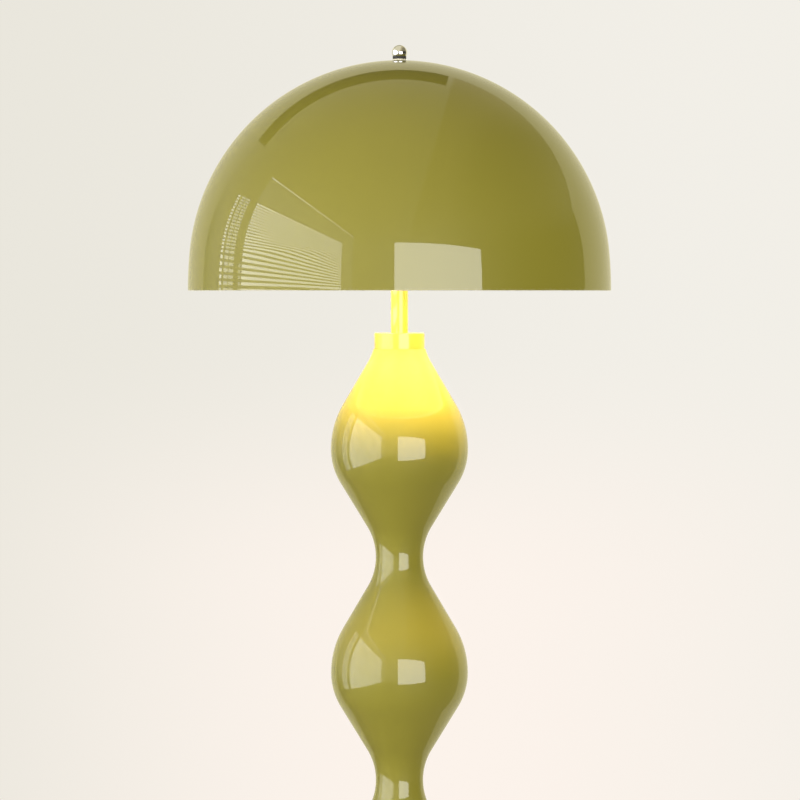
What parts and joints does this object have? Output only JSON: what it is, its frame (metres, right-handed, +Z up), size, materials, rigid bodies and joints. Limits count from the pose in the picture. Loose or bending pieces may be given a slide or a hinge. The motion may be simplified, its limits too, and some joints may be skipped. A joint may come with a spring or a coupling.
{
  "type": "floor lamp",
  "caption": "Upright floor lamp: a half-round glossy dome shade on a stem, a column of stacked teardrop segments and a flared round base.",
  "frame": {"origin": "centre of the base on the floor, under the column's axis", "axes": "+Z up along the column; +Y points to the rear, where the cable gland is; -Y is the front"},
  "size_m": [0.4, 0.4, 1.4845],
  "materials": {
    "lacquer": "high gloss",
    "enamel": "semi gloss",
    "chrome": "polished",
    "washer_plastic": "satin",
    "steel": "zinc plated",
    "cast_iron": "primed",
    "rubber": "matt",
    "moulded_plastic": "satin",
    "lead_insulation": "satin",
    "cap_metal": "rolled",
    "opal_glass": "opal, lit"
  },
  "bodies": {
    "stand": {"foot_pad_1": "rubber", "foot_pad_2": "rubber", "foot_pad_3": "rubber", "foot_pad_4": "rubber", "base_plate": "steel", "base_screws": "steel", "ballast": "cast_iron", "base_shell": "lacquer", "cable_gland": "rubber", "terminal_block": "moulded_plastic", "pipe_washer": "steel", "pipe_nut": "steel", "pipe_lower": "steel", "pipe_coupler": "steel", "pipe_upper": "steel", "centring_ring_1": "moulded_plastic", "centring_ring_2": "moulded_plastic", "centring_ring_3": "moulded_plastic", "centring_ring_4": "moulded_plastic", "centring_ring_5": "moulded_plastic", "segment_1": "lacquer", "segment_2": "lacquer", "segment_3": "lacquer", "segment_4": "lacquer", "segment_5": "lacquer", "collar": "lacquer", "stem": "lacquer", "stem_nut": "steel", "hub_body": "enamel", "hub_cap": "enamel", "arm_1": "enamel", "arm_2": "enamel", "arm_3": "enamel", "holder_shell_1": "moulded_plastic", "holder_shell_2": "moulded_plastic", "holder_shell_3": "moulded_plastic", "holder_core_1": "moulded_plastic", "holder_core_2": "moulded_plastic", "holder_core_3": "moulded_plastic", "holder_lead_1": "lead_insulation", "holder_lead_2": "lead_insulation", "holder_lead_3": "lead_insulation", "top_rod": "steel", "m10_nuts": "steel", "shade_carrier": "steel", "inner_lead": "lead_insulation"},
    "shade": {"shade": "lacquer", "shade_washer": "washer_plastic"},
    "finial": {"finial": "chrome"},
    "bulb_1": {"bulb_cap_1": "cap_metal", "bulb_glass_1": "opal_glass"},
    "bulb_2": {"bulb_cap_2": "cap_metal", "bulb_glass_2": "opal_glass"},
    "bulb_3": {"bulb_cap_3": "cap_metal", "bulb_glass_3": "opal_glass"}
  },
  "joints": [
    {"name": "shade_swivel", "type": "hinge", "parent": "stand", "child": "shade", "pos_m": [0, 0, 1.4695], "axis": [0, 0, 1], "continuous": true},
    {"name": "finial_turn", "type": "hinge", "parent": "stand", "child": "finial", "pos_m": [0, 0, 1.4775], "axis": [0, 0, 1], "continuous": true},
    {"name": "bulb_1_turn", "type": "hinge", "parent": "stand", "child": "bulb_1", "pos_m": [0, 0.075, 1.3545], "axis": [0, 0, 1], "continuous": true},
    {"name": "bulb_2_turn", "type": "hinge", "parent": "stand", "child": "bulb_2", "pos_m": [-0.06495, -0.0375, 1.3545], "axis": [0, 0, 1], "continuous": true},
    {"name": "bulb_3_turn", "type": "hinge", "parent": "stand", "child": "bulb_3", "pos_m": [0.06495, -0.0375, 1.3545], "axis": [0, 0, 1], "continuous": true}
  ]
}
